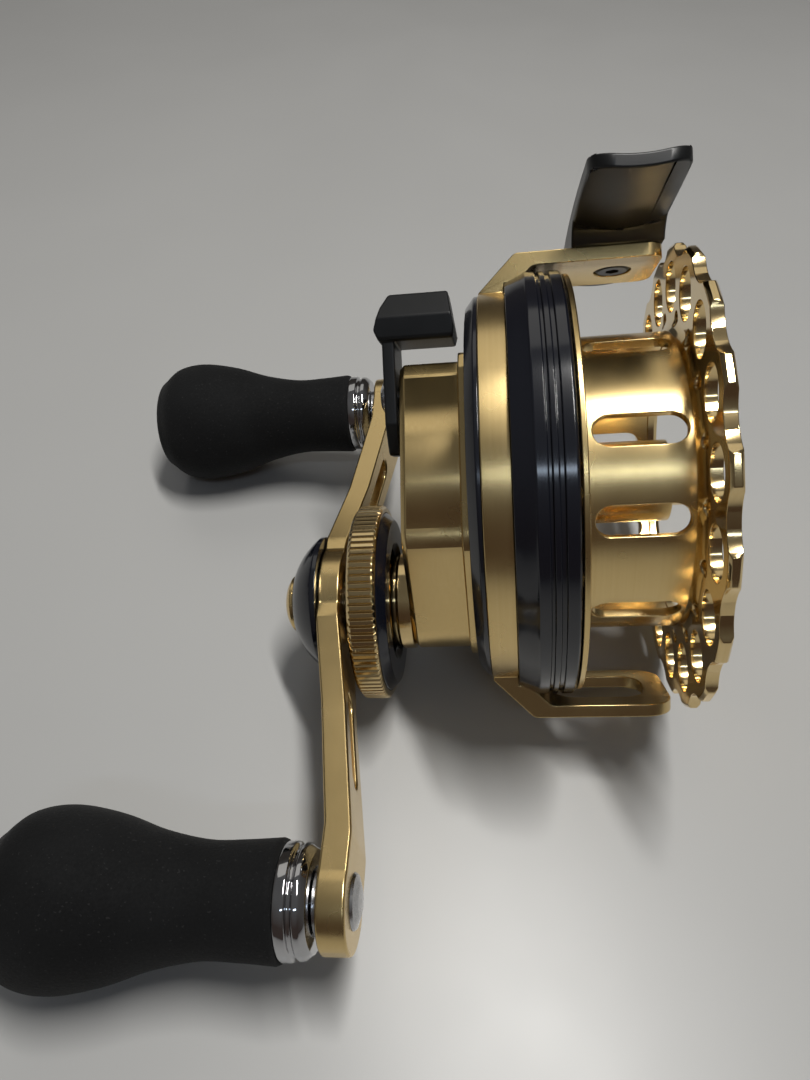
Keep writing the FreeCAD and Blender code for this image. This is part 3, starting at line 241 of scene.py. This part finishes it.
def gold(name, light, deep, smoothness, line_depth):
    """Gold anodised aluminium: faint lathe lines, soft clouds in the dye and in the gloss."""
    material, place = new_finish(name, Metallic=1.0)
    lines = round_the_spindle(place).noise(2600.0, 4.0, 0.75)
    clouds = place.noise(60.0, 2.0)
    smudges = place.noise(150.0, 2.0)
    roughness = smudges.clamped(0.35, 0.65, smoothness, smoothness * 1.15)
    feed(material, Base_Color=(clouds * 0.4 + lines * 0.6).ramp((0.35, deep), (0.62, light)),
         Roughness=roughness, Normal=lines.bump(line_depth, 0.5))
    return material


satin_gold = gold("satin_gold", (0.80, 0.60, 0.285), (0.73, 0.535, 0.235), 0.24, 0.000004)
polished_gold = gold("polished_gold", (0.82, 0.63, 0.33), (0.77, 0.575, 0.28), 0.12, 0.000001)


spool_axis = own_axes.to_3x3() @ Vector((1, 0, 0))
FACED_OFF = 0.9995      # a face this square to the axis was faced off flat
ALONG_AXIS = 0.02       # one that leans less than this along the axis was turned straight
FACING_OUT = 0.985      # and it must look this nearly straight out of the axis, or into it
SAME_POINT = 0.000002
SAME_PLANE = math.radians(0.4)


def trued(mesh, centre):
    """Squares the surface's normals to the turning axis, so that reflections run straight on it."""
    normals = [Vector(corner.vector) for corner in mesh.corner_normals]
    for face in mesh.polygons:
        flat = face.normal.dot(spool_axis)
        reach = face.center - centre
        outward = (reach - spool_axis * reach.dot(spool_axis)).normalized()
        round_share = face.normal.dot(outward)
        for corner in face.loop_indices:
            if abs(flat) > FACED_OFF:
                normals[corner] = spool_axis * math.copysign(1, flat)
            elif abs(flat) < ALONG_AXIS and abs(round_share) > FACING_OUT:
                arm = mesh.vertices[mesh.loops[corner].vertex_index].co - centre
                arm = (arm - spool_axis * arm.dot(spool_axis)).normalized()
                normals[corner] = arm * math.copysign(1, round_share)
    mesh.normals_split_custom_set(normals)


def finished(node, material, edge, segments=2, sharper_than=28, centre=spool_place):
    """A CAD piece with its sharp edges broken by a fine rounded bevel, as a deburred part has."""
    body = nodes[node]["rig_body"]
    form = bmesh.new()
    form.from_mesh(nodes[node].data)
    bmesh.ops.remove_doubles(form, verts=form.verts, dist=SAME_POINT)
    bmesh.ops.dissolve_limit(form, angle_limit=SAME_PLANE, verts=form.verts, edges=form.edges)
    mesh = bpy.data.meshes.new(node + "_blank")
    form.to_mesh(mesh)
    form.free()
    mesh.shade_smooth()
    mesh.materials.append(material)
    piece = bpy.data.objects.new(node + "_finished", mesh)
    bpy.context.scene.collection.objects.link(piece)
    bevel = piece.modifiers.new("edges", "BEVEL")
    bevel.width = edge * MM
    bevel.segments = segments
    bevel.limit_method = "ANGLE"
    bevel.angle_limit = math.radians(sharper_than)
    bevel.use_clamp_overlap = False
    weighted = piece.modifiers.new("weighted", "WEIGHTED_NORMAL")
    weighted.keep_sharp = False
    seen = piece.evaluated_get(bpy.context.evaluated_depsgraph_get())
    worked = bpy.data.meshes.new_from_object(seen)
    worked.name = node + "_finished"
    piece.modifiers.clear()
    piece.data = worked
    trued(worked, centre)
    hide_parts(node)
    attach(piece, body)
    return piece


finished("frame", satin_gold, 0.16)


# ---- Black turned pieces: side ring, cover behind the spool and rim cover.
# They are aluminium, turned and anodised to a gloss blue-black; the ring has two thin grooves.
def black_gloss(name, color, smoothness, shine=0.8):
    """Gloss black anodising: a deep dye, faint lathe lines and a few specks of dust."""
    material, place = new_finish(name, Metallic=0.0, Specular_IOR_Level=shine)
    lines = round_the_spindle(place).noise(9000.0, 2.0)
    dust = place.noise(5200.0, 1.0).clamped(0.74, 0.80, 0.0, 1.0)
    tint = dust.node("Mix", {"data_type": "RGBA"}, {"Factor": dust * 0.15, "A": (*color, 1.0),
                                                    "B": (0.08, 0.08, 0.09, 1.0)}, 2)
    feed(material, Base_Color=tint, Roughness=place.noise(120.0, 2.0).clamped(
        0.3, 0.7, smoothness, smoothness * 1.15), Normal=lines.bump(0.000001, 0.3))
    return material


blue_black = black_gloss("blue_black_anodised", (0.006, 0.007, 0.012), 0.13)
finished("side_ring", blue_black, 0.12)
finished("rim_cover", blue_black, 0.15)
finished("gear_cover", blue_black, 0.1)

# ---- Rod foot: a curved saddle plate with a thicker middle, milled and blacked.
# One socket screw up through the upper arm holds it, and it has turned slightly about that screw.
foot_black = black_gloss("foot_black", (0.006, 0.0065, 0.007), 0.34, 0.5)
finished("reel_foot", foot_black, 0.3, 3)
finished("foot_screw", foot_black, 0.08)

# ---- Gear housing and its base plate: milled from gold aluminium, with bright bevelled corners.
# The stepped sleeve on its face holds the main bearing; three black socket screws hold it down.
shaft_place = Vector(joints["handle_turn"]["pos_m"])
finished("gear_housing", satin_gold, 0.14)
finished("housing_base", satin_gold, 0.2)
finished("bearing_sleeve", polished_gold, 0.12, centre=shaft_place)

# ---- Drag wheel: a gold aluminium wheel on the handle's shaft, with straight knurling for a grip.
# A black turned liner is pressed into its open side; the wheel's thread squeezes the drag washers.
finished("drag_wheel", polished_gold, 0.05, 1, 20, shaft_place)
finished("wheel_liner", blue_black, 0.15, centre=shaft_place)

# ---- Handle: a bowed arm milled from gold aluminium bar, with a slot in each half to save weight.
# A nut holds it on the end of the drive shaft, under a black domed cap with a gold screw.
finished("handle_arm", satin_gold, 0.35, 3, centre=shaft_place)
finished("hub_cap", blue_black, 0.1, centre=shaft_place)
finished("cap_screw", satin_gold, 0.08, centre=shaft_place)

# ---- Spool: a slotted drum with a thin inner flange, and a scalloped outer flange full of holes.
# Both are gold aluminium; the drum is brushed round and the flange is polished.
finished("spool_drum", satin_gold, 0.18)
finished("spool_flange", polished_gold, 0.12)
finished("spindle_nut", polished_gold, 0.1)

# ---- Clutch lever: moulded black plastic, a thumb pad on a flat leg.
# A steel screw holds the leg to the lever's shaft, which comes out through the gear housing.
moulded, place = new_finish("moulded_black", Specular_IOR_Level=0.3)
grain = place.noise(6500.0, 2.0)
feed(moulded, Base_Color=place.noise(200.0).ramp((0.3, (0.006, 0.0065, 0.007)),
                                                 (0.7, (0.009, 0.0095, 0.0105))),
     Roughness=grain.clamped(0.3, 0.7, 0.36, 0.46), Normal=grain.bump(0.00001, 0.5))
finished("clutch_lever", moulded, 0.3, 3)


# ---- Knob grips: closed-cell foam rubber, ground to a pear shape with fine open pores.
# Each is pulled over a plastic core and keeps its place by its own grip.
def lathe(name, outline, place, steps=128):
    """A round piece about the X direction; the outline lists (x, radius) in millimetres."""
    form = bmesh.new()
    rings = []
    for along, radius in outline:
        ring = []
        for step in range(steps):
            angle = 2 * math.pi * step / steps
            spot = Vector((along, radius * math.cos(angle), radius * math.sin(angle))) * MM
            ring.append(form.verts.new(place @ spot))
        rings.append(ring)
    for first, second in zip(rings, rings[1:] + rings[:1]):
        for step in range(steps):
            after = (step + 1) % steps
            form.faces.new((first[step], first[after], second[after], second[step]))
    bmesh.ops.recalc_face_normals(form, faces=form.faces)
    mesh = bpy.data.meshes.new(name)
    form.to_mesh(mesh)
    form.free()
    mesh.shade_smooth()
    piece = bpy.data.objects.new(name, mesh)
    bpy.context.scene.collection.objects.link(piece)
    return piece


def eased(points, steps=7):
    """Points on a smooth curve through the given ones."""
    curve = []
    for index in range(len(points) - 1):
        before = Vector(points[max(index - 1, 0)])
        start = Vector(points[index])
        stop = Vector(points[index + 1])
        after = Vector(points[min(index + 2, len(points) - 1)])
        for step in range(steps):
            share = step / steps
            curve.append(tuple(0.5 * ((2 * start) + (stop - before) * share
                                      + (2 * before - 5 * start + 4 * stop - after) * share ** 2
                                      + (3 * start - before - 3 * stop + after) * share ** 3)))
    curve.append(points[-1])
    return curve


foam, place = new_finish("foam_rubber", Metallic=0.0, Specular_IOR_Level=0.2, Sheen_Weight=0.04,
                         Sheen_Roughness=0.5)
cells = place.noise(2600.0, 4.0, 0.7)
pores = place.node("TexVoronoi", {}, {"Vector": place, "Scale": 2200.0})
specks = place.noise(3000.0, 0.0).clamped(0.76, 0.80, 0.0, 1.0)
bloom = place.noise(90.0, 3.0).ramp((0.35, (0.0050, 0.0052, 0.0056)),
                                    (0.7, (0.0085, 0.0088, 0.0094)))
speckled = bloom.node("Mix", {"data_type": "RGBA"}, {"Factor": specks * 0.3, "A": bloom,
                                                     "B": (0.05, 0.05, 0.05, 1.0)}, 2)
feed(foam, Base_Color=speckled, Roughness=cells.clamped(0.3, 0.7, 0.75, 0.95),
     Normal=(cells * 0.7 + pores * 0.5).bump(0.00006, 0.7))

KNOB_MIDDLE = -50.0
CORE_RADIUS = 4.6
GRIP_END = -73.4
GRIP_NECK = -37.1
GRIP = [(-72.5, 8.7), (-69.8, 10.55), (-65.4, 11.1), (-59.4, 10.05), (-53.4, 8.1), (-47.4, 6.95),
        (-42.4, 6.98), (-37.7, 7.25)]
outline = [(GRIP_END, CORE_RADIUS), (GRIP_END, 7.6), (-73.15, 8.25), *eased(GRIP), (-37.3, 7.1),
           (GRIP_NECK, 6.75), (GRIP_NECK, CORE_RADIUS)]
for letter in ("a", "b"):
    axle = Matrix.Translation(joints["knob_%s_spin" % letter]["pos_m"]) @ own_axes
    grip = lathe("foam_grip_" + letter, [(x - KNOB_MIDDLE, r) for x, r in outline], axle)
    grip.data.materials.append(foam)
    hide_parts("knob_grip_" + letter)
    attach(grip, "knob_" + letter)

# ---- Knob collars: turned brass with bright chrome plate and two ribs.
# Each sits between the foam grip and the arm, round the riveted knob pin.
chrome, place = new_finish("chrome_plate", Metallic=1.0)
haze = place.noise(300.0, 2.0)
feed(chrome, Base_Color=haze.ramp((0.3, (0.46, 0.46, 0.47)), (0.7, (0.54, 0.54, 0.55))),
     Roughness=haze.clamped(0.35, 0.7, 0.05, 0.09), Normal=haze.bump(0.000001, 0.2))
for letter in ("a", "b"):
    finished("knob_collar_" + letter, chrome, 0.15,
             centre=Vector(joints["knob_%s_spin" % letter]["pos_m"]))

# ---- Steel, brass, plastic and fibre pieces inside, and the screws: turned, hobbed or stamped.
# Gears are brass, shafts, bearings and springs are steel, and the drag washers are woven fibre.
steel, place = new_finish("turned_steel", Metallic=1.0)
lines = round_the_spindle(place).noise(6000.0, 2.0)
feed(steel, Base_Color=lines.ramp((0.3, (0.50, 0.50, 0.51)), (0.7, (0.62, 0.62, 0.63))),
     Roughness=place.noise(800.0, 3.0).clamped(0.3, 0.7, 0.2, 0.32),
     Normal=lines.bump(0.000003, 0.5))
brass, place = new_finish("cut_brass", Metallic=1.0)
tarnish = place.noise(400.0, 4.0)
feed(brass, Base_Color=tarnish.ramp((0.3, (0.62, 0.42, 0.16)), (0.7, (0.80, 0.60, 0.28))),
     Roughness=tarnish.clamped(0.3, 0.7, 0.22, 0.38), Normal=tarnish.bump(0.000004, 0.4))
fibre, place = new_finish("woven_fibre", Specular_IOR_Level=0.4)
weave = place.noise(3500.0, 3.0)
feed(fibre, Base_Color=weave.ramp((0.3, (0.02, 0.02, 0.022)), (0.7, (0.06, 0.06, 0.065))),
     Roughness=weave.clamped(0.3, 0.7, 0.5, 0.8), Normal=weave.bump(0.00003, 0.6))

inside = {"steel": steel, "brass": brass, "drag_fibre": fibre, "black_plastic": moulded,
          "black_anodised": blue_black, "gold_anodised": satin_gold}
for name, node in nodes.items():
    if not node.hide_render:
        node.data.materials.clear()
        node.data.materials.append(inside[slots[name]])
        node.data.shade_smooth()
        node.data.set_sharp_from_angle(angle=math.radians(30))
